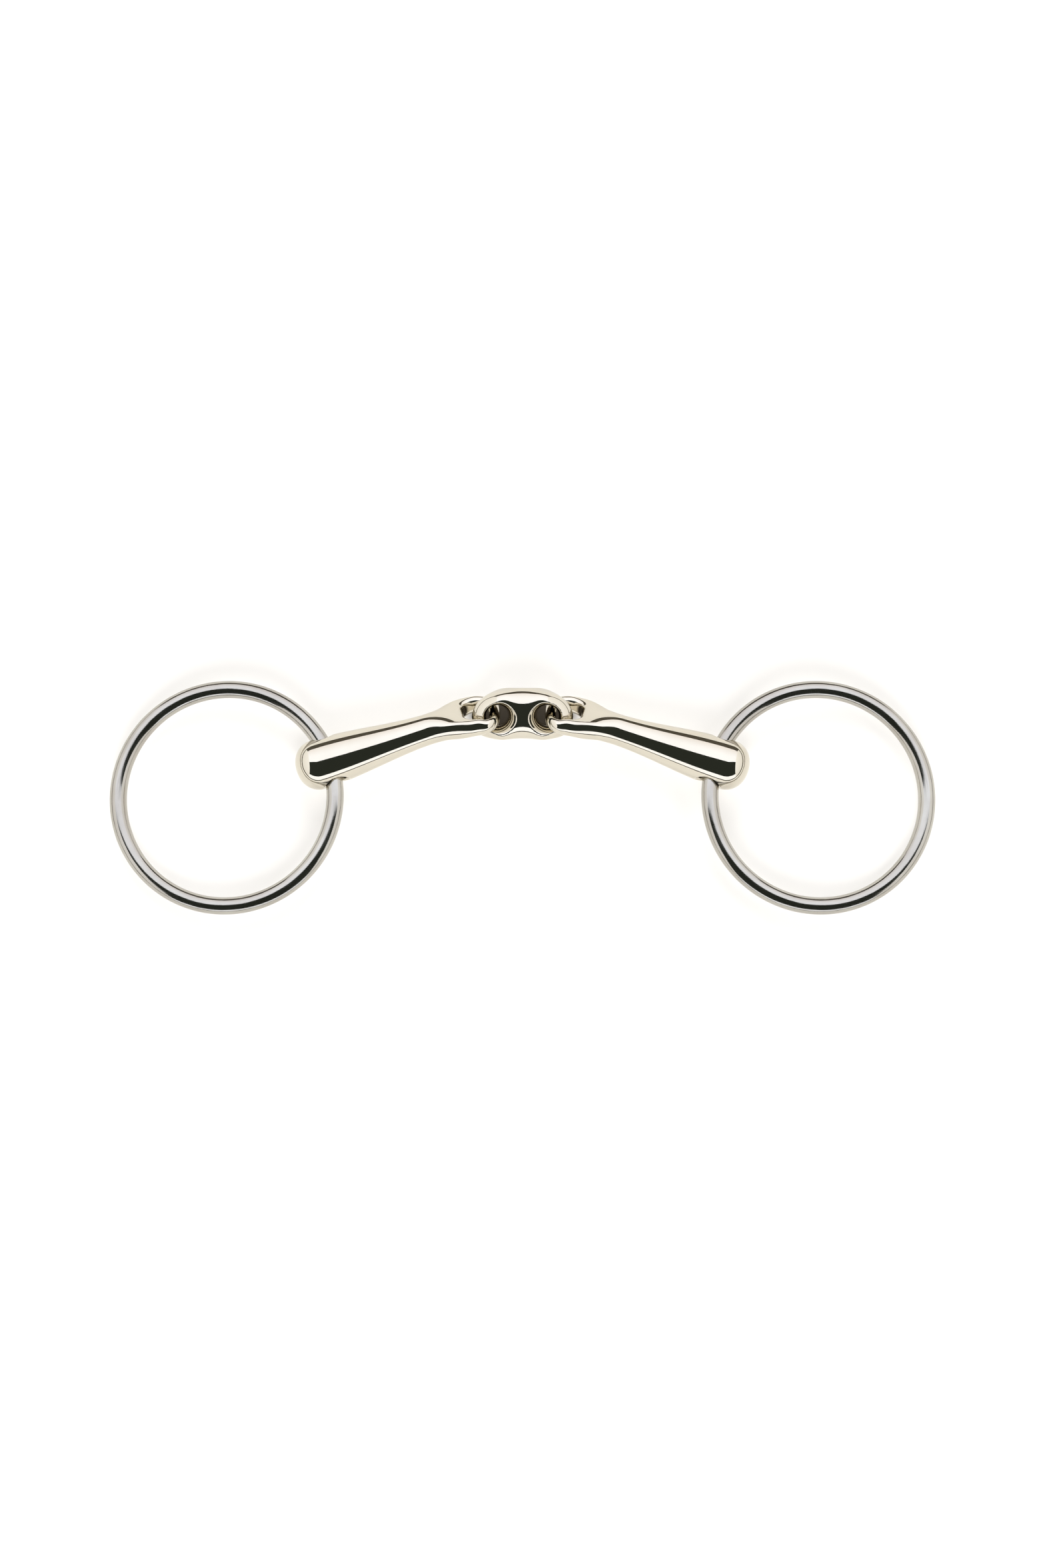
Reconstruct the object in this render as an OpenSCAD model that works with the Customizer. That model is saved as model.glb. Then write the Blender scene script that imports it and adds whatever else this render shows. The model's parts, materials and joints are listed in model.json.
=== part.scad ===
// Double-jointed loose-ring snaffle bit, lying flat: X across the mouth, +Z up off the surface.
// Two rings run in the bored ends of two bent arms, and each arm's eye is linked through
// a lozenge-shaped centre link. The bit is symmetric about X = 0, and the rings' centres are on Y = 0.

/* [Rings] */
// Outer diameter of each ring
ring_od = 70; // [68:0.5:74]
// Diameter of the ring wire
wire_d = 5.2; // [4.6:0.1:5.4]

/* [Arms] */
// Distance between the centres of the two ring holes
hole_span = 114.8; // [112:0.2:122]
// Diameter of an arm at its ring hole
bulb_d = 15; // [14:0.1:16]
// Diameter of the slim part of an arm
neck_d = 9.2; // [8.8:0.1:9.8]
// Length of the domed end beyond the thickest section
cap_l = 6.1; // [5:0.1:8]
// Diameter of the bore that the ring runs in
bore_d = 6.6; // [6.6:0.1:7.2]
// Angle between an arm's axis and the mouthpiece's middle
arm_bend = 18.2; // [16:0.2:20]

/* [Eyes] */
// Width of an eye across both of its bars
eye_w = 16.6; // [16.4:0.1:17]
// Thickness of an eye
eye_t = 5.4; // [5.2:0.1:5.5]
// Thickness of the loop at the eye's tip
tip_t = 3.6; // [3.5:0.1:3.8]
// Opening of the eye along the arm
eye_gap_l = 7.3; // [7.2:0.1:7.5]
// Opening of the eye across the arm
eye_gap_w = 9.7; // [9.6:0.1:9.8]
// Angle between an eye's long side and the vertical
eye_lean = 43; // [42:0.5:44]

/* [Centre link] */
// Length of the link
link_l = 30.3; // [30:0.1:31]
// Height of the link
link_h = 15.2; // [15:0.1:16]
// Thickness of the link at its middle
link_t = 10.6; // [10:0.1:10.7]
// Distance between the link's two holes
link_pitch = 15; // [14.8:0.1:15.2]
// Diameter of the link's holes at their narrowest
link_bore_d = 6.4; // [6.4:0.1:6.8]
// Angle that the link leans by, from lying flat
link_lean = 26; // [26:1:30]

/* [Hidden] */
eps = 0.01;
clear = 0.6;               // gap between an eye's tip and the wall of the link's hole
round_fn = 96;             // for true circles
bed_z = 7.1;               // height of the mouthpiece's middle above the surface

// Rings: each leans outward about its hole, down to the surface at its far side.
ring_r = (ring_od - wire_d) / 2;
ring_turn = 20;            // the hole's axis is turned by this from +Y
hole_z = bulb_d / 2;
ring_lean = asin((hole_z - wire_d / 2) / (2 * ring_r));
hole = [hole_span / 2, ring_r * sin(ring_turn) * cos(ring_lean), hole_z];
bore_drop = 0.6;           // the bore's middle is this far from the ring's own crossing point
bore_mid = hole - bore_drop * [sin(ring_turn), cos(ring_turn), 0];

// Arms: the axis leaves the eye along X and bends smoothly towards the ring hole.
pin_x = link_pitch / 2;
bend_x = 14.4;             // where the arm's axis bends
bend_w = 2;                // softness of the bend
neck_x = 27;               // slimmest section
bulb_x = 60;               // thickest section
flare_x = 29;              // the eye's flare starts here and is full at eye_x
eye_x = 15.5;
tip_in = pin_x + link_bore_d / 2 - clear;
tip_x = tip_in - tip_t;
tip_round = 6.1;           // length of the rounded tip outline
tip_thin = 0.5;            // the eye is thinner at its tip by this on each side
cap_x = 60.6;              // the domed end starts here
cap_end = cap_x + cap_l * cos(arm_bend);
eye_y = bore_mid[1] + tan(arm_bend) * (bore_mid[0] - bend_x);
eye_mid = tip_in + eye_gap_l / 2;
gap_corner = [2.2, 2.8];   // radius of the opening's corners at the tip and on the arm's side
eye_flat = 0.2;            // half height of the opening's straight wall

function sigmoid(v) = 1 / (1 + exp(-v));
function ease(v) = let (c = min(max(v, 0), 1)) c * c * (3 - 2 * c);
function bend(x) = bend_w * ln(1 + exp((x - bend_x) / bend_w));
function slope(x) = atan(tan(arm_bend) * sigmoid((x - bend_x) / bend_w));
function rise(x) = (hole_z - bed_z) * min(bend(x) / bend(bore_mid[0]), 1);
function axis_at(x) = [x, eye_y - tan(arm_bend) * bend(x), bed_z + rise(x)];
function body_r(x) = neck_d / 2 + (bulb_d - neck_d) / 2 * ease((x - neck_x) / (bulb_x - neck_x));
function flare(x) = ease((flare_x - x) / (flare_x - eye_x));
function dome(v, power) = pow(max(1 - pow(min(max(v, 0), 1), power), 0), 1 / power);
function cap(x) = dome((x - cap_x) / (cap_end - cap_x), 2.1);
function at_tip(x) = ease((eye_mid - x) * 2 / eye_gap_l);
function half_w(x) = dome((tip_x + tip_round - x) / tip_round, 2.4) * cap(x)
    * (body_r(x) + (eye_w / 2 - body_r(x)) * flare(x));
function half_t(x) = dome((tip_x + tip_t / 2 - x) / (tip_t / 2), 2) * cap(x)
    * (body_r(x) + (eye_t / 2 - body_r(x)) * flare(x) - tip_thin * at_tip(x));

// A superellipse's point at angle a: power 2 is an ellipse, and more is squarer.
function bulge(v, power) = sign(v) * pow(abs(v), 2 / power);
// Sections lie across the axis, and their long side leans back from the vertical.
function arm_point(x, a) =
    let (s = slope(x), power = 2 + flare(x) * (1 - at_tip(x)),
         w = half_w(x) * bulge(cos(a), power), t = half_t(x) * bulge(sin(a), power),
         across = t * cos(eye_lean) - w * sin(eye_lean),
         up = t * sin(eye_lean) + w * cos(eye_lean))
    axis_at(x) + [across * sin(s), across * cos(s), up];

arm_sides = 28;
tip_steps = 5;
body_steps = 18;
cap_steps = 6;
function from_end(i, steps, length) = length * (1 - cos(90 * (i + 0.35) / steps));
arm_stations = concat(
    [for (i = [0 : tip_steps - 1]) tip_x + from_end(i, tip_steps, tip_round)],
    [for (i = [0 : body_steps]) let (start = tip_x + tip_round) start + (cap_x - start) * i / body_steps],
    [for (i = [cap_steps - 1 : -1 : 0]) cap_end - from_end(i, cap_steps, cap_end - cap_x)]);

// Link: a rounded lozenge that arches slightly across the mouth.
link_mid = [0, eye_y, bed_z];
arch = 0.45;                // height of the arch above the line through the hole centres
link_power = 2.2;           // section shape at the link's middle and ends
link_flare = 6;             // radius by which the link's holes open out towards its faces
link_sides = 32;
link_steps = 22;
// How far the link's half height (power 3.2) and half thickness (2.4) have shrunk at x
function link_k(x, power) = pow(max(1 - pow(abs(x) / (link_l / 2), power), 0), 1 / link_power);
// Sections are squarer beside the holes, so the face stays flat round them.
function squareness(x) = link_power + 1.5 * exp(-pow((abs(x) - 6.2) / 2.8, 2));
function link_point(x, a) = [
    x,
    arch * (1 - pow(x / pin_x, 2)) + link_h / 2 * link_k(x, 3.2) * bulge(cos(a), squareness(x)),
    link_t / 2 * link_k(x, 2.4) * bulge(sin(a), squareness(x))];
link_stations = [for (i = [0 : link_steps])
    (link_l / 2 - 0.03) * cos(180 * i / link_steps)];

// A closed solid through rows of points, every row with the same number of points.
module loft(rows) {
    n = len(rows[0]);
    last = (len(rows) - 1) * n;
    points = [for (row = rows, p = row) p];
    sides = [for (i = [0 : len(rows) - 2], j = [0 : n - 1], half = [0, 1])
        let (k = (j + 1) % n, a = i * n + j, b = i * n + k)
        half == 0 ? [a, b, b + n] : [a, b + n, a + n]];
    ends = [[for (j = [n - 1 : -1 : 0]) j], [for (j = [0 : n - 1]) last + j]];
    polyhedron(points, concat(sides, ends), convexity = 6);
}

// A round hole along Z: straight for 2 * straight, then opening by an arc of radius lip at both mouths.
module lipped_hole(r, straight, lip) {
    far = straight + lip;
    cylinder(r = r, h = 4 * far, center = true, $fn = round_fn);
    for (side = [0, 1]) mirror([0, 0, side]) {
        rotate_extrude($fn = round_fn) difference() {
            translate([0, straight]) square([r + lip, lip]);
            translate([r + lip, straight]) circle(lip, $fn = round_fn);
        }
        translate([0, 0, far - eps]) cylinder(r = r + lip, h = far, $fn = round_fn);
    }
}

module arm() {
    color([0.80, 0.76, 0.66])
    difference() {
        loft([for (x = arm_stations) [for (j = [0 : arm_sides - 1]) arm_point(x, 360 * j / arm_sides)]]);
        // The bore for the ring, with a rounded mouth at each end
        translate(bore_mid) rotate([0, 0, -ring_turn]) rotate([90, 0, 0])
            lipped_hole(bore_d / 2, 2, 30);
        // The eye's opening: a round hole in the middle, and one in each corner
        translate([eye_mid, eye_y, bed_z]) rotate([eye_lean - 90, 0, 0]) {
            lipped_hole(eye_gap_l / 2, eye_flat, eye_t / 2 - eye_flat);
            for (end = [0, 1], side = [-1, 1]) let (r = gap_corner[end])
                translate([(2 * end - 1) * (eye_gap_l / 2 - r), side * (eye_gap_w / 2 - r), 0])
                    lipped_hole(r, eye_flat, eye_t / 2 - eye_flat);
        }
    }
}

module ring() {
    color([0.62, 0.62, 0.66])
    translate(hole) rotate([0, 0, -ring_turn]) rotate([0, ring_lean, 0]) translate([ring_r, 0, 0])
        rotate_extrude($fn = round_fn) translate([ring_r, 0]) circle(d = wire_d, $fn = 48);
}

module left_ring() mirror([1, 0, 0]) ring();
module left_arm() mirror([1, 0, 0]) arm();
module right_arm() arm();
module right_ring() ring();

module centre_link() {
    color([0.82, 0.78, 0.68])
    translate(link_mid) rotate([link_lean, 0, 0])
    difference() {
        loft([for (x = link_stations) [for (j = [0 : link_sides - 1]) link_point(x, 360 * j / link_sides)]]);
        for (side = [-1, 1]) translate([side * pin_x, 0, 0]) lipped_hole(link_bore_d / 2, 0.3, link_flare);
    }
}

left_ring();
left_arm();
centre_link();
right_arm();
right_ring();
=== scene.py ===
"""Double-jointed loose-ring snaffle bit lying on a pale studio table.

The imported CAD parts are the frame. Each of the five metal pieces gets a finer mesh here, on the same
dimensions, and a node material. The arms and the link are fields, about the distance to the surface and
below zero inside, and the zero surface becomes the mesh. The rings are tori.
Shape values are in millimetres in the row frame: X across the mouth, +Z up, the rings' centres on Y = 0.
The studio's values are in metres.
"""
import json
import math

import bpy
import numpy as np
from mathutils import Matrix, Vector


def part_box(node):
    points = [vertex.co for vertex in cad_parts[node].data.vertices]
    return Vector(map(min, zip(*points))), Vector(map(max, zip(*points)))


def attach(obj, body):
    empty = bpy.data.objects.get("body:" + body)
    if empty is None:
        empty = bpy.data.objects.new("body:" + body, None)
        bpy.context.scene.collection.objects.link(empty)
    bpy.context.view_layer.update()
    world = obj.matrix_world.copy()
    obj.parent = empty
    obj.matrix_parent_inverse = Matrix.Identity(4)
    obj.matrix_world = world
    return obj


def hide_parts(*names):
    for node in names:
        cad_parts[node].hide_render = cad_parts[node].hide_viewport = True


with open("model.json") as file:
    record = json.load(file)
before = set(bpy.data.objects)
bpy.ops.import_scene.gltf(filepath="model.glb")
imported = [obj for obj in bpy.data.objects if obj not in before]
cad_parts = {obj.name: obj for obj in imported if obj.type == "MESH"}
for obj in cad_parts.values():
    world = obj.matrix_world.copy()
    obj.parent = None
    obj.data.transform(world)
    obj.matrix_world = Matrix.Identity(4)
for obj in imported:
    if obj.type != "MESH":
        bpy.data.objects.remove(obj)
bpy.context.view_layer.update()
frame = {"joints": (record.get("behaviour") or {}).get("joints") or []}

MM = 0.001
JOINTS = {joint["name"]: joint for joint in frame["joints"]}

# ---------------------------------------------------------------- places from the frame


def joint_place(name):
    """A joint's point in millimetres and its axis as a unit vector."""
    joint = JOINTS[name]
    axis = np.array(joint["axis"], float)
    return np.array(joint["pos_m"], float) / MM, axis / np.linalg.norm(axis)


def box_mm(node):
    low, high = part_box(node)
    return np.array(low) / MM, np.array(high) / MM


PIN, LINK_NORMAL = joint_place("right_arm_fold")
HOLE, RING_TANGENT = joint_place("right_ring_swing")
ARM_LOW, ARM_HIGH = box_mm("right_arm")
RING_LOW, RING_HIGH = box_mm("right_ring")
LINK_LOW, LINK_HIGH = box_mm("centre_link")

# ---------------------------------------------------------------- shape values, from the CAD source

RING_R = 32.4              # radius of a ring's centre line
WIRE_R = 2.6
RING_CENTRE = (RING_LOW + RING_HIGH) / 2
RING_STEPS, WIRE_STEPS = 420, 40
WELD_RISE = 0.03           # the weld swells and sinks by this, and the wire is thinner by it to leave room
WELD_HALF_L = 1.1          # how far along the wire the weld dies away
WELD_TURN = 0.6            # phase of the swelling round the wire, in radians

NECK_R = 4.6               # radius of an arm's slim part
BULB_R = 7.475             # radius at its ring hole, just less than the CAD's, to stay inside its box
BORE_R = 3.3
BORE_DROP = 0.6            # the bore's middle lies this far inside the ring's own circle
BORE_STRAIGHT = 2.0        # half length of the bore's straight middle
BORE_FLARE = 30.0          # radius of the gentle flare beyond it
BORE_EDGE = 0.7            # rounding of the bore's mouth
ARM_BEND = math.radians(18.2)
BEND_X = 14.4              # where the arm's axis bends
BEND_W = 2.0               # softness of the bend
NECK_X = 27.0              # slimmest section
BULB_X = 60.0              # thickest section
FLARE_END = 29.0           # the eye's flare starts here and is full at EYE_X
EYE_X = 15.5
CAP_X = 60.6               # the domed end starts here
CAP_POWER = 2.1

EYE_HALF_W, EYE_HALF_T = 8.3, 2.7
EYE_LEAN = math.radians(43)
TIP_ROUND, TIP_POWER = 6.1, 2.4
GAP_L, GAP_W = 7.3, 9.7    # the eye's opening along the arm and across it
GAP_ROUND_TIP = 2.2        # radius of the opening's corners at the tip
GAP_ROUND_ARM = 2.8        # the same on the arm's side
GAP_ROUND_BAND = 0.5       # the radius changes over this length in the opening's middle
TIP_T = 3.6                # the loop's thickness at the tip
TIP_THIN = 0.5             # the loop is thinner at its tip by this on each side
BAR_ROUND = 1.8            # half width of a bar's rounded section
CROTCH_ROUND = 1.3         # rounding of the opening's edge on the arm's side
CROTCH_EARLY = 0.5         # that rounding starts this far before the opening's middle
PLATE_END = EYE_X + 9      # the eye's flat plate has turned into the arm's body here
PLATE_FADE = 7.0           # length over which it turns

LINK_HALF_L, LINK_HALF_H, LINK_HALF_T = 15.15, 7.6, 5.3
LINK_BORE_R = 3.2          # at the middle of the link's thickness, from where the holes open out
LINK_STRAIGHT = 0.3        # half length of their straight middle
LINK_FLARE = 6.0           # radius of the flare from there out to the face
LINK_EDGE = 0.22           # rounding of the edge where the flare meets the face
LINK_ARCH = 0.45           # height of the arch above the line through the hole centres
LINK_POWER = 2.2           # section shape at the link's middle and ends: 2 is an ellipse, more is squarer
LINK_TAPER_H = 3.2         # how bluntly the height falls off towards the ends
LINK_TAPER_T = 2.4         # the same for the thickness
SQUARE = 1.5               # the section's power grows by this beside the holes
SQUARE_X = 6.2             # where it has grown most
SQUARE_W = 2.8             # how far along the link it does so

TIP_X = ARM_LOW[0]
CAP_END = ARM_HIGH[0]
BED_Z = PIN[2]
EYE_Y = PIN[1]
EYE_MID = TIP_X + TIP_T + GAP_L / 2
BORE_MID = HOLE - BORE_DROP * RING_TANGENT
LINK_MID = np.array([0.0, EYE_Y, BED_Z])

ARM_STEP, LINK_STEP = 0.38, 0.32       # size of a mesh face
TINY = 1e-9                            # keeps a division or a power away from zero
END_GAP = 1e-4                         # keeps the link's ratio of tapers defined at its very end
LEAST_STEEP = 0.02                     # lower bound of the link field's slope

# ---------------------------------------------------------------- fields


def sigmoid(v):
    return 1 / (1 + np.exp(-v))


def ease(v):
    c = np.clip(v, 0, 1)
    return c * c * (3 - 2 * c)


def soft_corner(a, b):
    """Both a and b below zero, with the corner between them rounded to a quarter of a unit circle."""
    deep = np.minimum(np.maximum(a, b), -1)
    return deep + np.hypot(np.maximum(a + 1, 0), np.maximum(b + 1, 0))


def bend(x):
    return BEND_W * np.log1p(np.exp((x - BEND_X) / BEND_W))


def axis_y(x):
    return EYE_Y - math.tan(ARM_BEND) * bend(x)


def axis_z(x):
    return BED_Z + (HOLE[2] - BED_Z) * np.minimum(bend(x) / bend(BORE_MID[0]), 1)


def section_place(p, rounds=5):
    """The station x of the section that holds each point, its place across and up in it, and the slope."""
    x = p[:, 0].copy()
    for _ in range(rounds):
        share = sigmoid((x - BEND_X) / BEND_W)
        lean = math.tan(ARM_BEND) * share
        s = np.arctan(lean)
        turn = math.tan(ARM_BEND) * share * (1 - share) / BEND_W / (1 + lean**2)
        dx, dy = p[:, 0] - x, p[:, 1] - axis_y(x)
        ahead = dx * np.cos(s) - dy * np.sin(s)
        across = dx * np.sin(s) + dy * np.cos(s)
        x = x + ahead / (1 / np.cos(s) + turn * across)
    return x, across, p[:, 2] - axis_z(x), s


def tube_field(x, w, t, s, half_w, half_t, power):
    """The arm's body: superellipse sections and a domed end."""
    a, b = np.abs(w) / half_w, np.abs(t) / half_t
    ring = np.maximum((a**power + b**power) ** (1 / power), TINY)
    steep = np.hypot((a / ring) ** (power - 1) / half_w, (b / ring) ** (power - 1) / half_t)
    q = np.maximum((x - CAP_X) / (CAP_END - CAP_X), 0)
    level = (ring**CAP_POWER + q**CAP_POWER) ** (1 / CAP_POWER)
    side = (ring / level) ** (CAP_POWER - 1) * steep
    end = (q / level) ** (CAP_POWER - 1) * np.cos(s) / (CAP_END - CAP_X)
    return (level - 1) / np.hypot(side, end)


def eye_field(x, w, t, half_w, half_t):
    """The eye's flat plate, whose outline is rounded all round."""
    a = np.abs(w) / half_w
    q = np.maximum((TIP_X + TIP_ROUND - x) / TIP_ROUND, 0)
    level = np.maximum((a**TIP_POWER + q**TIP_POWER) ** (1 / TIP_POWER), TINY)
    steep = np.hypot((a / level) ** (TIP_POWER - 1) / half_w, (q / level) ** (TIP_POWER - 1) / TIP_ROUND)
    outline = (level - 1) / steep
    return soft_corner(outline / BAR_ROUND, (np.abs(t) - half_t) / half_t) * half_t


def arm_body(x, w, t, s):
    """The arm without its openings. The eye's plate turns smoothly into the body."""
    flare = ease((FLARE_END - x) / (FLARE_END - EYE_X))
    body_r = NECK_R + (BULB_R - NECK_R) * ease((x - NECK_X) / (BULB_X - NECK_X))
    half_w = body_r + (EYE_HALF_W - body_r) * flare
    half_t = body_r + (EYE_HALF_T - body_r) * flare - TIP_THIN * ease((EYE_MID - x) / (GAP_L / 2))
    tube = tube_field(x, w, t, s, half_w, half_t, 2 + flare)
    plate = eye_field(x, w, t, half_w, half_t)
    return tube + (plate - tube) * ease((PLATE_END - x) / PLATE_FADE)


def eye_opening(x, w):
    """The eye's opening, a rectangle with rounded corners, below zero inside it."""
    middle_share = ease((x - EYE_MID) / GAP_ROUND_BAND + 0.5)
    round_r = GAP_ROUND_TIP + (GAP_ROUND_ARM - GAP_ROUND_TIP) * middle_share
    past_l = np.abs(x - EYE_MID) - (GAP_L / 2 - round_r)
    past_w = np.abs(w) - (GAP_W / 2 - round_r)
    corner = np.hypot(np.maximum(past_l, 0), np.maximum(past_w, 0))
    return corner + np.minimum(np.maximum(past_l, past_w), 0) - round_r


def with_opening(body, x, w):
    """The body with the eye's opening cut out and the bars' edges rounded."""
    crotch = ease((x - EYE_MID + CROTCH_EARLY) / (GAP_L / 2))
    round_w = BAR_ROUND + (CROTCH_ROUND - BAR_ROUND) * crotch
    round_t = EYE_HALF_T + (CROTCH_ROUND - EYE_HALF_T) * crotch
    return soft_corner(body / round_t, -eye_opening(x, w) / round_w) * round_t


def flared_hole(radius, straight, flare, along):
    """A hole's radius at a distance along its axis: straight, then opening by an arc."""
    beyond = np.clip(np.abs(along) - straight, 0, flare)
    return radius + flare - np.sqrt(flare**2 - beyond**2)


def arm_field(p):
    """The right arm."""
    x, across, up, s = section_place(p)
    w = up * math.cos(EYE_LEAN) - across * math.sin(EYE_LEAN)
    t = across * math.cos(EYE_LEAN) + up * math.sin(EYE_LEAN)
    body = with_opening(arm_body(x, w, t, s), x, w)

    along = (p - BORE_MID) @ RING_TANGENT
    radial = np.linalg.norm(p - BORE_MID - along[:, None] * RING_TANGENT, axis=1)
    bore = flared_hole(BORE_R, BORE_STRAIGHT, BORE_FLARE, along) - radial
    return soft_corner(body / BORE_EDGE, bore / BORE_EDGE) * BORE_EDGE


def link_body(x, height, depth):
    """The centre link without its holes. Its sections are squarer beside the holes."""
    bowed = np.abs(height - LINK_ARCH * (1 - (x / PIN[0]) ** 2))
    reach = x / LINK_HALF_L
    reach = np.where(np.abs(reach - 1) < END_GAP, 1 + END_GAP, reach)
    ratio = (1 - reach**LINK_TAPER_H) / (1 - reach**LINK_TAPER_T)
    power = LINK_POWER + SQUARE * np.exp(-(((x - SQUARE_X) / SQUARE_W) ** 2))
    squash = np.maximum(ratio, 0) ** (1 / LINK_POWER)
    a, b = bowed / LINK_HALF_H, squash * depth / LINK_HALF_T
    ring = np.maximum(a**power + b**power, TINY) ** (1 / power)
    level = (ring**LINK_POWER + reach**LINK_TAPER_H) ** (1 / LINK_POWER)
    more = LINK_POWER - 1
    side = (ring / level) ** more * np.hypot((a / ring) ** (power - 1) / LINK_HALF_H,
                                             squash * (b / ring) ** (power - 1) / LINK_HALF_T)
    end = LINK_TAPER_H / LINK_POWER * reach ** (LINK_TAPER_H - 1) / level**more / LINK_HALF_L
    return (level - 1) / np.maximum(np.hypot(side, end), LEAST_STEEP)


def link_field(p):
    """The centre link, which is the same on both sides of X = 0."""
    up_axis = np.cross(LINK_NORMAL, [1.0, 0.0, 0.0])
    d = p - LINK_MID
    x, height, depth = np.abs(d[:, 0]), d @ up_axis, np.abs(d @ LINK_NORMAL)
    body = link_body(x, height, depth)
    hole = flared_hole(LINK_BORE_R, LINK_STRAIGHT, LINK_FLARE, depth) - np.hypot(x - PIN[0], height)
    return soft_corner(body / LINK_EDGE, hole / LINK_EDGE) * LINK_EDGE


# ---------------------------------------------------------------- from a field to a mesh


SLOPE_STEP = 0.01          # half span of the differences that give a field's slope
NORMAL_STEP = 0.004        # the same for the final normals
LEAST_SLOPE = 1e-3         # lower bound of the slope's square
MARGIN_STEPS = 2.5         # the grid reaches this many steps past the CAD's box
SETTLE_ROUNDS = 3          # moves onto the surface, before and after the relaxing
RELAX_ROUNDS = 3
BETWEEN_ROUNDS = 2         # moves onto the surface after each relaxing


def gradient(field, p, small=SLOPE_STEP):
    """The field's slope at each point, by central differences."""
    slope = np.empty_like(p)
    for k in range(3):
        shift = np.zeros(3)
        shift[k] = small
        slope[:, k] = (field(p + shift) - field(p - shift)) / (2 * small)
    return slope


def onto_surface(field, p, rounds, reach):
    """Moves points down the slope to the zero surface."""
    for _ in range(rounds):
        g = gradient(field, p)
        step = field(p) / np.maximum((g * g).sum(1), LEAST_SLOPE)
        move = g * step[:, None]
        length = np.linalg.norm(move, axis=1, keepdims=True)
        p = p - move * np.minimum(1, reach / np.maximum(length, TINY))
    return p


def grid_values(field, low, high, step):
    """The field's values at the points of a grid, and the points."""
    counts = np.ceil((high - low) / step).astype(int) + 1
    ticks = [low[k] + step * np.arange(counts[k]) for k in range(3)]
    grid = np.stack(np.meshgrid(*ticks, indexing="ij"), -1)
    return grid, field(grid.reshape(-1, 3)).reshape(grid.shape[:3])


def cell_window(start, cells):
    """The grid points that are the given corner of every cell."""
    return tuple(slice(start[i], start[i] + cells[i]) for i in range(3))


def cell_points(grid, value, step):
    """One point in each cell that the zero surface crosses, and those points' numbers by cell."""
    inside = value < 0
    cells = np.array(value.shape) - 1
    total = np.zeros((*cells, 3))
    hits = np.zeros(cells)
    for k in range(3):
        one = np.eye(3, dtype=int)[k]
        others = [i for i in range(3) if i != k]
        for pair in [(0, 0), (0, 1), (1, 0), (1, 1)]:
            first = np.zeros(3, int)
            first[others[0]], first[others[1]] = pair
            here, there = cell_window(first, cells), cell_window(first + one, cells)
            crossed = inside[here] != inside[there]
            fall = np.where(crossed, value[here] - value[there], 1)
            share = np.where(crossed, value[here] / fall, 0)
            point = grid[here] + share[..., None] * step * one
            total += np.where(crossed[..., None], point, 0)
            hits += crossed
    active = hits > 0
    index = -np.ones(cells, int)
    index[active] = np.arange(active.sum())
    return total[active] / hits[active][:, None], index


def cell_quads(inside, index):
    """A quad round each grid edge that the zero surface crosses, through its four cells' points."""
    quads = []
    for k in range(3):
        u, v = (k + 1) % 3, (k + 2) % 3
        here = [slice(1, index.shape[i]) for i in range(3)]
        here[k] = slice(0, index.shape[k])
        there = list(here)
        there[k] = slice(1, index.shape[k] + 1)
        a, b = inside[tuple(here)], inside[tuple(there)]
        for flip, crossed in ((False, a & ~b), (True, ~a & b)):
            base = np.argwhere(crossed)
            base[:, u] += 1
            base[:, v] += 1
            ring = []
            for du, dv in [(-1, -1), (0, -1), (0, 0), (-1, 0)]:
                cell = base.copy()
                cell[:, u] += du
                cell[:, v] += dv
                ring.append(index[cell[:, 0], cell[:, 1], cell[:, 2]])
            quad = np.stack(ring, 1)
            quads.append(quad[:, ::-1] if flip else quad)
    return np.concatenate(quads)


def relax(points, quads):
    """Each point moves to the middle of its neighbours."""
    ends_a = quads.ravel()
    ends_b = np.roll(quads, -1, axis=1).ravel()
    total, count = np.zeros_like(points), np.zeros(len(points))
    for start, end in ((ends_a, ends_b), (ends_b, ends_a)):
        np.add.at(total, start, points[end])
        np.add.at(count, start, 1)
    return total / count[:, None]


def field_surface(field, low, high, step):
    """An even quad mesh on the field's zero surface, with its true normals."""
    margin = MARGIN_STEPS * step
    grid, value = grid_values(field, low - margin, high + margin, step)
    points, index = cell_points(grid, value, step)
    quads = cell_quads(value < 0, index)
    points = onto_surface(field, points, SETTLE_ROUNDS, step)
    for _ in range(RELAX_ROUNDS):
        points = onto_surface(field, relax(points, quads), BETWEEN_ROUNDS, step)
    points = onto_surface(field, points, SETTLE_ROUNDS, step)
    normals = gradient(field, points, NORMAL_STEP)
    normals /= np.linalg.norm(normals, axis=1, keepdims=True)
    return points, quads, normals


def mirror_rows(points, quads, normals):
    """The same surface on the other side of X = 0."""
    flip = np.array([-1.0, 1.0, 1.0])
    return points * flip, quads[:, ::-1], normals * flip


def mesh_piece(name, points, quads, normals, material):
    """A smooth mesh object from points in millimetres."""
    mesh = bpy.data.meshes.new(name)
    mesh.from_pydata((points * MM).tolist(), [], quads.tolist())
    mesh.validate()
    mesh.shade_smooth()
    mesh.normals_split_custom_set_from_vertices(normals.tolist())
    mesh.materials.append(material)
    piece = bpy.data.objects.new(name, mesh)
    bpy.context.scene.collection.objects.link(piece)
    return piece


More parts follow.
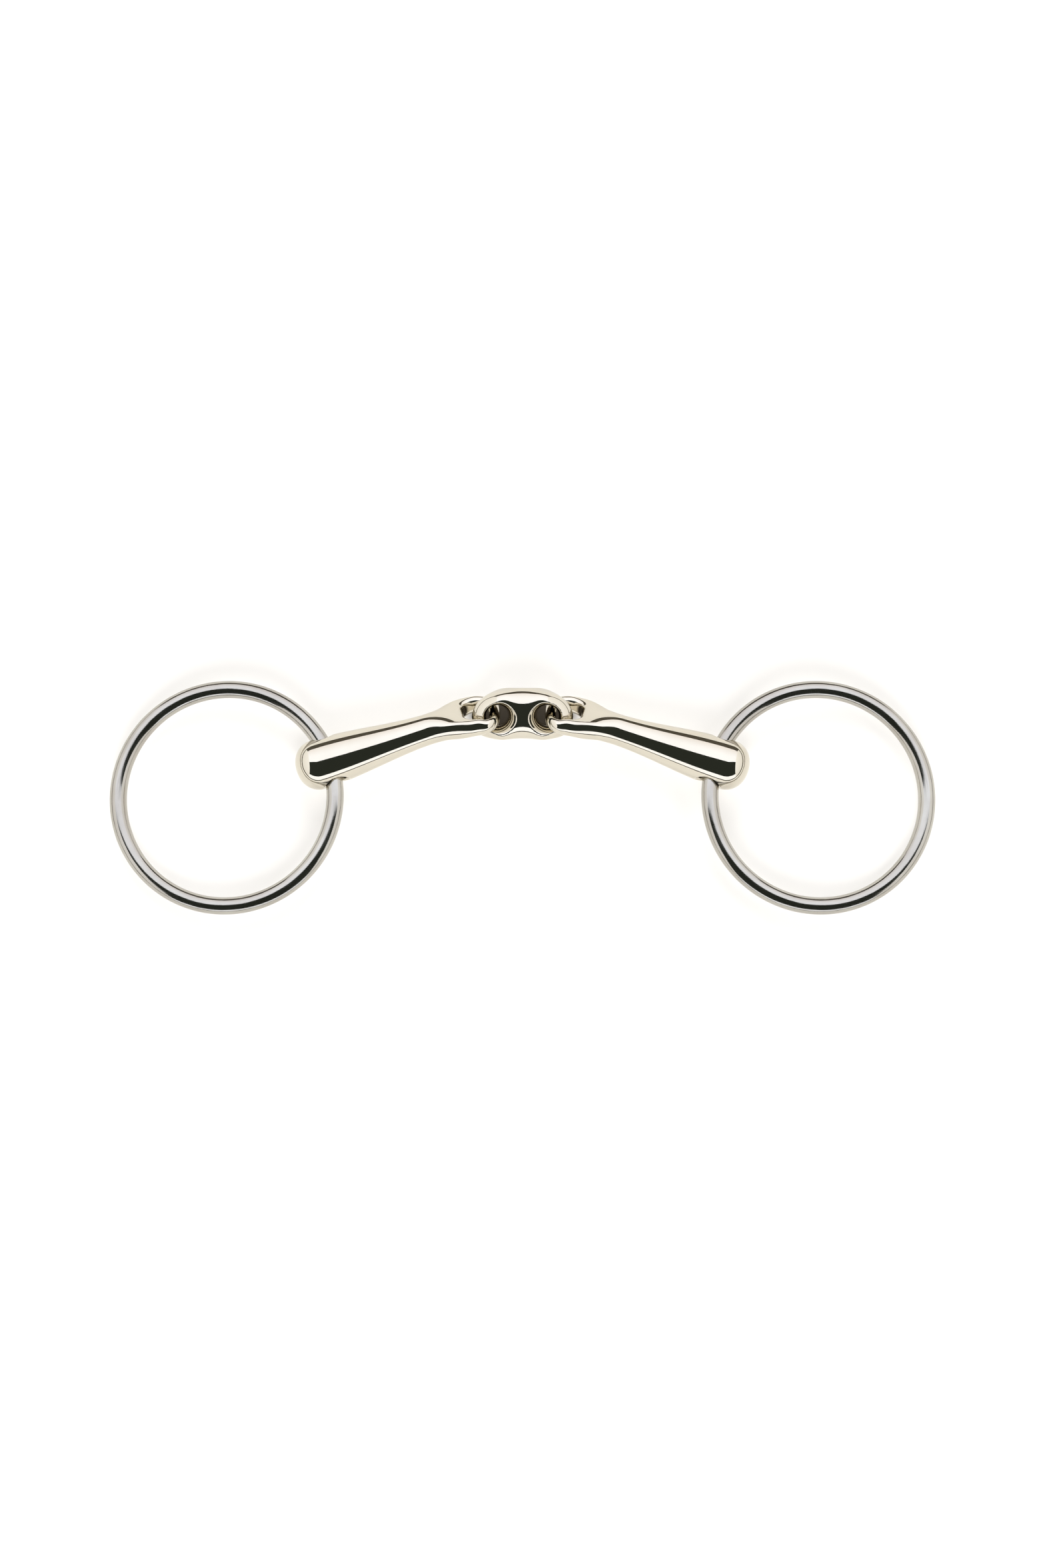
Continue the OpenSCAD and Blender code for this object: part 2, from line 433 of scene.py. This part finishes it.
def ring_surface():
    """The right ring as a fine torus, with a faint weld at the side far from its hole."""
    out = RING_CENTRE - HOLE
    radius = np.linalg.norm(out)
    out /= radius
    tangent = RING_TANGENT - (RING_TANGENT @ out) * out
    tangent /= np.linalg.norm(tangent)
    normal = np.cross(out, tangent)
    round_a = np.repeat(np.arange(RING_STEPS), WIRE_STEPS) * 2 * math.pi / RING_STEPS
    wire_a = np.tile(np.arange(WIRE_STEPS), RING_STEPS) * 2 * math.pi / WIRE_STEPS
    far = 0.5 - 0.5 * np.cos(round_a)
    weld = np.exp(-(((round_a - math.pi) * radius / WELD_HALF_L) ** 2))
    wire = WIRE_R - WELD_RISE + WELD_RISE * weld * np.cos(2 * wire_a + WELD_TURN) * far
    away = -np.cos(round_a)[:, None] * out + np.sin(round_a)[:, None] * tangent
    normals = np.cos(wire_a)[:, None] * away + np.sin(wire_a)[:, None] * normal
    points = RING_CENTRE + radius * away + wire[:, None] * normals
    index = np.arange(RING_STEPS * WIRE_STEPS).reshape(RING_STEPS, WIRE_STEPS)
    ahead = np.roll(index, -1, axis=0)
    quads = np.stack([index, np.roll(index, -1, axis=1), np.roll(ahead, -1, axis=1), ahead], -1)
    return points, quads.reshape(-1, 4), normals


def add_wire_coords(piece):
    """A UV map that runs along the ring's wire and round it, in millimetres, for the polishing lines."""
    mesh = piece.data
    layer = mesh.uv_layers.new(name="wire")
    corner = np.zeros(len(mesh.loops), int)
    mesh.loops.foreach_get("vertex_index", corner)
    along, around = corner // WIRE_STEPS, corner % WIRE_STEPS
    face_along, face_around = along.reshape(-1, 4), around.reshape(-1, 4)
    wrap_along = (face_along.max(1, keepdims=True) - face_along > RING_STEPS / 2) * RING_STEPS
    wrap_around = (face_around.max(1, keepdims=True) - face_around > WIRE_STEPS / 2) * WIRE_STEPS
    u = (face_along + wrap_along) * (2 * math.pi * RING_R / RING_STEPS)
    v = (face_around + wrap_around) * (2 * math.pi * WIRE_R / WIRE_STEPS)
    layer.data.foreach_set("uv", np.stack([u.ravel(), v.ravel()], -1).astype(np.float32).ravel())


# ---------------------------------------------------------------- materials

MOUTHPIECE_TINTS = (0.665, 0.62, 0.52), (0.70, 0.655, 0.555)
MOUTHPIECE_ROUGH = 0.035, 0.085
WAVE_HEIGHT = 0.00001                  # heights of the bumps, in metres
HAIR_HEIGHT = 0.0000012
HAIR_STRETCH = (1.0, 5.0, 3.0)

RING_TINTS = (0.43, 0.405, 0.36), (0.51, 0.49, 0.44)
RING_ROUGH = 0.08, 0.2
DENT_HEIGHT = 0.000008
LINE_HEIGHT = 0.000006
LINE_STRETCH = (0.16, 2.6, 1.0)        # along the wire, round it, and unused

FLOOR_TINTS = (0.86, 0.85, 0.835), (0.87, 0.86, 0.845)
FLOOR_ROUGH = 0.8
FLOOR_SPECULAR = 0.1
PAINTED_SHADOW_TINT = (0.05, 0.042, 0.032, 1)   # painted shadow: the dark patch on the table under the link, and its size in metres
SHADE_HALF_L, SHADE_HALF_W = 0.0185, 0.0058
SHADE_Y = EYE_Y * MM + 0.001           # just behind the link's middle
SHADE_FADE = 0.7                       # the patch fades out from this share of its size


def node_material(name):
    material = bpy.data.materials.new(name)
    material.use_nodes = True
    tree = material.node_tree
    return material, tree, tree.nodes["Principled BSDF"]


def noise(tree, vector, scale, detail=2.0, roughness=0.5, stretch=None):
    """A noise texture, optionally stretched, read from the given coordinates."""
    if stretch is not None:
        mapping = tree.nodes.new("ShaderNodeMapping")
        mapping.inputs["Scale"].default_value = stretch
        tree.links.new(vector, mapping.inputs["Vector"])
        vector = mapping.outputs["Vector"]
    node = tree.nodes.new("ShaderNodeTexNoise")
    node.inputs["Scale"].default_value = scale
    node.inputs["Detail"].default_value = detail
    node.inputs["Roughness"].default_value = roughness
    tree.links.new(vector, node.inputs["Vector"])
    return node.outputs["Fac"]


def spread(tree, value, low, high, from_low=0.3, from_high=0.7):
    """A value carried over from one range to another. Noise mostly lies between 0.3 and 0.7."""
    node = tree.nodes.new("ShaderNodeMapRange")
    node.inputs["From Min"].default_value = from_low
    node.inputs["From Max"].default_value = from_high
    node.inputs["To Min"].default_value = low
    node.inputs["To Max"].default_value = high
    tree.links.new(value, node.inputs["Value"])
    return node.outputs["Result"]


def blend_colours(tree, share, first, second):
    node = tree.nodes.new("ShaderNodeMix")
    node.data_type = "RGBA"
    node.inputs["A"].default_value = (*first, 1)
    node.inputs["B"].default_value = (*second, 1)
    tree.links.new(share, node.inputs["Factor"])
    return node.outputs["Result"]


def bump(tree, height, distance, below=None):
    node = tree.nodes.new("ShaderNodeBump")
    node.inputs["Distance"].default_value = distance
    node.inputs["Strength"].default_value = 1.0
    tree.links.new(height, node.inputs["Height"])
    if below is not None:
        tree.links.new(below, node.inputs["Normal"])
    return node.outputs["Normal"]


def mouthpiece_material():
    """Mirror-polished warm pale metal, slightly wavy, with hairlines."""
    material, tree, shader = node_material("mouthpiece_metal")
    place = tree.nodes.new("ShaderNodeTexCoord").outputs["Object"]
    cloud = noise(tree, place, scale=90, detail=3)
    wave = noise(tree, place, scale=260, detail=1)
    hair = noise(tree, place, scale=900, detail=4, roughness=0.6, stretch=HAIR_STRETCH)
    tint = blend_colours(tree, spread(tree, cloud, 0, 1), *MOUTHPIECE_TINTS)
    tree.links.new(tint, shader.inputs["Base Color"])
    tree.links.new(spread(tree, hair, *MOUTHPIECE_ROUGH), shader.inputs["Roughness"])
    surface = bump(tree, wave, WAVE_HEIGHT)
    surface = bump(tree, hair, HAIR_HEIGHT, below=surface)
    tree.links.new(surface, shader.inputs["Normal"])
    shader.inputs["Metallic"].default_value = 1.0
    return material


def ring_material():
    """Polished stainless steel wire with fine lines along it."""
    material, tree, shader = node_material("ring_steel")
    place = tree.nodes.new("ShaderNodeTexCoord").outputs["Object"]
    wire = tree.nodes.new("ShaderNodeUVMap")
    wire.uv_map = "wire"
    cloud = noise(tree, place, scale=70, detail=3)
    lines = noise(tree, wire.outputs["UV"], scale=1.0, detail=3, roughness=0.6, stretch=LINE_STRETCH)
    dents = noise(tree, place, scale=420, detail=2)
    tint = blend_colours(tree, spread(tree, cloud, 0, 1), *RING_TINTS)
    tree.links.new(tint, shader.inputs["Base Color"])
    tree.links.new(spread(tree, lines, *RING_ROUGH), shader.inputs["Roughness"])
    surface = bump(tree, dents, DENT_HEIGHT)
    surface = bump(tree, lines, LINE_HEIGHT, below=surface)
    tree.links.new(surface, shader.inputs["Normal"])
    shader.inputs["Metallic"].default_value = 1.0
    return material


def painted_shadow_share(tree, place):
    """0 in the middle of the painted shadow on the table under the link, and 1 outside it."""
    mapping = tree.nodes.new("ShaderNodeMapping")
    mapping.inputs["Location"].default_value = (0, -SHADE_Y / SHADE_HALF_W, 0)
    mapping.inputs["Scale"].default_value = (1 / SHADE_HALF_L, 1 / SHADE_HALF_W, 1)
    tree.links.new(place, mapping.inputs["Vector"])
    away = tree.nodes.new("ShaderNodeVectorMath")
    away.operation = "LENGTH"
    tree.links.new(mapping.outputs["Vector"], away.inputs[0])
    return spread(tree, away.outputs["Value"], 0, 1, SHADE_FADE, 1.0)


def floor_material():
    """Matt white table top, with a painted shadow, a dark patch under the link, so that the link's holes
    look dark.
    """
    material, tree, shader = node_material("floor_white")
    place = tree.nodes.new("ShaderNodeTexCoord").outputs["Object"]
    grain = noise(tree, place, scale=40, detail=3)
    tint = blend_colours(tree, spread(tree, grain, 0, 1), *FLOOR_TINTS)
    # painted shadow: the table's colour turns dark under the link
    painted_shadow_mix = tree.nodes.new("ShaderNodeMix")
    painted_shadow_mix.data_type = "RGBA"
    painted_shadow_mix.inputs["A"].default_value = PAINTED_SHADOW_TINT
    tree.links.new(painted_shadow_share(tree, place), painted_shadow_mix.inputs["Factor"])
    tree.links.new(tint, painted_shadow_mix.inputs["B"])
    tree.links.new(painted_shadow_mix.outputs["Result"], shader.inputs["Base Color"])
    shader.inputs["Roughness"].default_value = FLOOR_ROUGH
    shader.inputs["Specular IOR Level"].default_value = FLOOR_SPECULAR
    return material


def glow_material(name, low, high, start, end):
    """A glowing face whose light goes from low, at height start, to high, at height end."""
    material = bpy.data.materials.new(name)
    material.use_nodes = True
    tree = material.node_tree
    tree.nodes.clear()
    place = tree.nodes.new("ShaderNodeTexCoord").outputs["Object"]
    split = tree.nodes.new("ShaderNodeSeparateXYZ")
    tree.links.new(place, split.inputs["Vector"])
    share = spread(tree, split.outputs["Z"], 0, 1, start, end)
    colour = blend_colours(tree, share, low, high)
    glow = tree.nodes.new("ShaderNodeEmission")
    tree.links.new(colour, glow.inputs["Color"])
    out = tree.nodes.new("ShaderNodeOutputMaterial")
    tree.links.new(glow.outputs["Emission"], out.inputs["Surface"])
    return material


# ---------------------------------------------------------------- the studio

TABLE_HALF = 1.15
BACKDROP_HALF = 4.0

# A glow's colour low down, its colour high up, and the two heights between which it changes
BACKDROP_GLOW = (0.97, 0.97, 0.97), (1.0, 1.0, 1.0), -1.0, 2.0
BACK_GLOW = (1.16, 1.08, 1.08), (1.48, 1.53, 1.70), 0.3, 1.5
DARK_GLOW = (0.025, 0.030, 0.022), (0.030, 0.035, 0.029), 0.0, 1.0
FRONT_GLOW = (1.43, 1.48, 1.59), (1.51, 1.55, 1.68), 0.1, 0.8
SIDE_GLOW = (1.14, 1.12, 1.10), (1.34, 1.34, 1.37), 0.0, 1.5
ROOM_COLOUR = (0.11, 0.10, 0.082, 1)

# The arched cards' edges are angles from overhead in degrees, positive towards +Y.
CARD_RADIUS = 1.7
CARD_REACH = 1.5
CARD_STEPS = 24
BACK_TOP, BACK_FOOT = 3, 67.5
DARK_FOOT = -66.5
FRONT_FOOT, FRONT_STEPS = -85, 8
SIDE_FOOT_Z = 0.15

# Each table light's direction in degrees round Z, and its watts
TABLE_LIGHTS = {"right": (0, 15), "behind": (90, 7), "left": (180, 15), "front": (270, 11)}
SHADOW_LIGHTS = ("behind", "front")    # the only ones that cast shadows
LIGHT_DISTANCE = 1.5
LIGHT_ELEVATION = 38                   # in degrees above the table
LIGHT_SIZE = 0.9

CAMERA_ELEVATION = 80                  # in degrees above the table
CAMERA_DISTANCE = 1.05
FRAME_WIDTH = 0.310                    # what the picture's width spans at that distance
SENSOR_WIDTH = 36
VIEW_MIDDLE = Vector((0.0, 0.004, 0.005))
NEAREST, FARTHEST = 0.01, 20


def staged(name, rows, faces, material):
    """A mesh that belongs to the studio and not to the object."""
    mesh = bpy.data.meshes.new(name)
    mesh.from_pydata(rows, [], faces)
    mesh.materials.append(material)
    card = bpy.data.objects.new(name, mesh)
    bpy.context.scene.collection.objects.link(card)
    return card


def arched_card(name, start_deg, end_deg, material, steps=CARD_STEPS):
    """A card bent about the X axis."""
    rows = []
    for i in range(steps + 1):
        a = math.radians(start_deg + (end_deg - start_deg) * i / steps)
        for x in (-CARD_REACH, CARD_REACH):
            rows.append((x, CARD_RADIUS * math.sin(a), CARD_RADIUS * math.cos(a)))
    faces = [(2 * i, 2 * i + 1, 2 * i + 3, 2 * i + 2) for i in range(steps)]
    return staged(name, rows, faces, material)


def flat_card(name, corners, material):
    return staged(name, corners, [(0, 1, 2, 3)], material)


def build_floor():
    half = TABLE_HALF
    corners = [(-half, -half, 0), (half, -half, 0), (half, half, 0), (-half, half, 0)]
    flat_card("floor", corners, floor_material())


def build_backdrop():
    """White walls far off that only the camera sees, beyond the table's edge in low views."""
    half = BACKDROP_HALF
    rows = [(x * half, y * half, z * half) for x in (-1, 1) for y in (-1, 1) for z in (-1, 1)]
    faces = [(0, 1, 3, 2), (4, 5, 7, 6), (0, 1, 5, 4), (2, 3, 7, 6), (0, 2, 6, 4), (1, 3, 7, 5)]
    white = glow_material("backdrop_white", *BACKDROP_GLOW)
    walls = staged("backdrop", rows, faces, white)
    walls.visible_diffuse = False
    walls.visible_glossy = False
    walls.visible_shadow = False


def build_side_cards(material):
    cards = []
    for name, x in (("left", -CARD_REACH), ("right", CARD_REACH)):
        corners = [(x, -CARD_RADIUS, SIDE_FOOT_Z), (x, CARD_RADIUS, SIDE_FOOT_Z),
                   (x, CARD_RADIUS, CARD_RADIUS), (x, -CARD_RADIUS, CARD_RADIUS)]
        cards.append(flat_card(f"card_side_{name}", corners, material))
    return cards


def build_cards():
    """What the metal mirrors: softboxes all round, and a dark card over the front half of the sky.

    They light only by reflection, and the camera doesn't see them.
    """
    back = glow_material("softbox_back", *BACK_GLOW)
    cards = [arched_card("card_back", BACK_TOP, BACK_FOOT, back)]
    dark = glow_material("dark_card", *DARK_GLOW)
    cards.append(arched_card("card_dark", BACK_TOP, DARK_FOOT, dark))
    front = glow_material("softbox_front", *FRONT_GLOW)
    cards.append(arched_card("card_front", DARK_FOOT, FRONT_FOOT, front, FRONT_STEPS))
    side = glow_material("softbox_side", *SIDE_GLOW)
    cards += build_side_cards(side)
    for card in cards:
        card.visible_diffuse = False
        card.visible_camera = False


def build_world():
    world = bpy.data.worlds.new("room")
    world.use_nodes = True
    world.node_tree.nodes["Background"].inputs["Color"].default_value = ROOM_COLOUR
    bpy.context.scene.world = world


def build_table_lights():
    """Low wide lights that the metal doesn't mirror. They keep the table near white, its shadows faint."""
    low = math.radians(LIGHT_ELEVATION)
    for name, (degrees, energy) in TABLE_LIGHTS.items():
        around = math.radians(degrees)
        data = bpy.data.lights.new(f"table_light_{name}", "AREA")
        data.shape = "DISK"
        data.size = LIGHT_SIZE
        data.energy = energy
        data.use_shadow = name in SHADOW_LIGHTS
        light = bpy.data.objects.new(data.name, data)
        away = Vector((math.cos(around) * math.cos(low), math.sin(around) * math.cos(low), math.sin(low)))
        light.location = away * LIGHT_DISTANCE
        light.rotation_mode = "QUATERNION"
        light.rotation_quaternion = away.to_track_quat("Z", "Y")
        light.visible_glossy = False
        bpy.context.scene.collection.objects.link(light)


def build_camera():
    """A camera at the photograph's angle, nearly overhead."""
    data = bpy.data.cameras.new("camera")
    data.sensor_fit = "HORIZONTAL"
    data.sensor_width = SENSOR_WIDTH
    data.lens = SENSOR_WIDTH * CAMERA_DISTANCE / FRAME_WIDTH
    data.clip_start = NEAREST
    data.clip_end = FARTHEST
    camera = bpy.data.objects.new("camera", data)
    tilt = math.radians(CAMERA_ELEVATION)
    back = Vector((0, -math.cos(tilt), math.sin(tilt)))
    camera.location = VIEW_MIDDLE + back * CAMERA_DISTANCE
    camera.rotation_mode = "QUATERNION"
    camera.rotation_quaternion = (-back).to_track_quat("-Z", "Y")
    bpy.context.scene.collection.objects.link(camera)
    bpy.context.scene.camera = camera


# ---------------------------------------------------------------- the object


def build_arms(material):
    right = field_surface(arm_field, ARM_LOW, ARM_HIGH, ARM_STEP)
    for side, rows in (("right", right), ("left", mirror_rows(*right))):
        piece = mesh_piece(f"{side}_mouthpiece_arm", *rows, material)
        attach(piece, f"{side}_arm")
        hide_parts(f"{side}_arm")


def build_link(material):
    rows = field_surface(link_field, LINK_LOW, LINK_HIGH, LINK_STEP)
    piece = mesh_piece("lozenge_link", *rows, material)
    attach(piece, "link")
    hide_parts("centre_link")


def build_rings(material):
    right = ring_surface()
    for side, rows in (("right", right), ("left", mirror_rows(*right))):
        piece = mesh_piece(f"{side}_loose_ring", *rows, material)
        add_wire_coords(piece)
        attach(piece, f"{side}_ring")
        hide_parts(f"{side}_ring")


mouthpiece = mouthpiece_material()
build_arms(mouthpiece)
build_link(mouthpiece)
build_rings(ring_material())
build_floor()
build_backdrop()
build_cards()
build_world()
build_table_lights()
build_camera()
bpy.context.scene.view_settings.view_transform = "Standard"
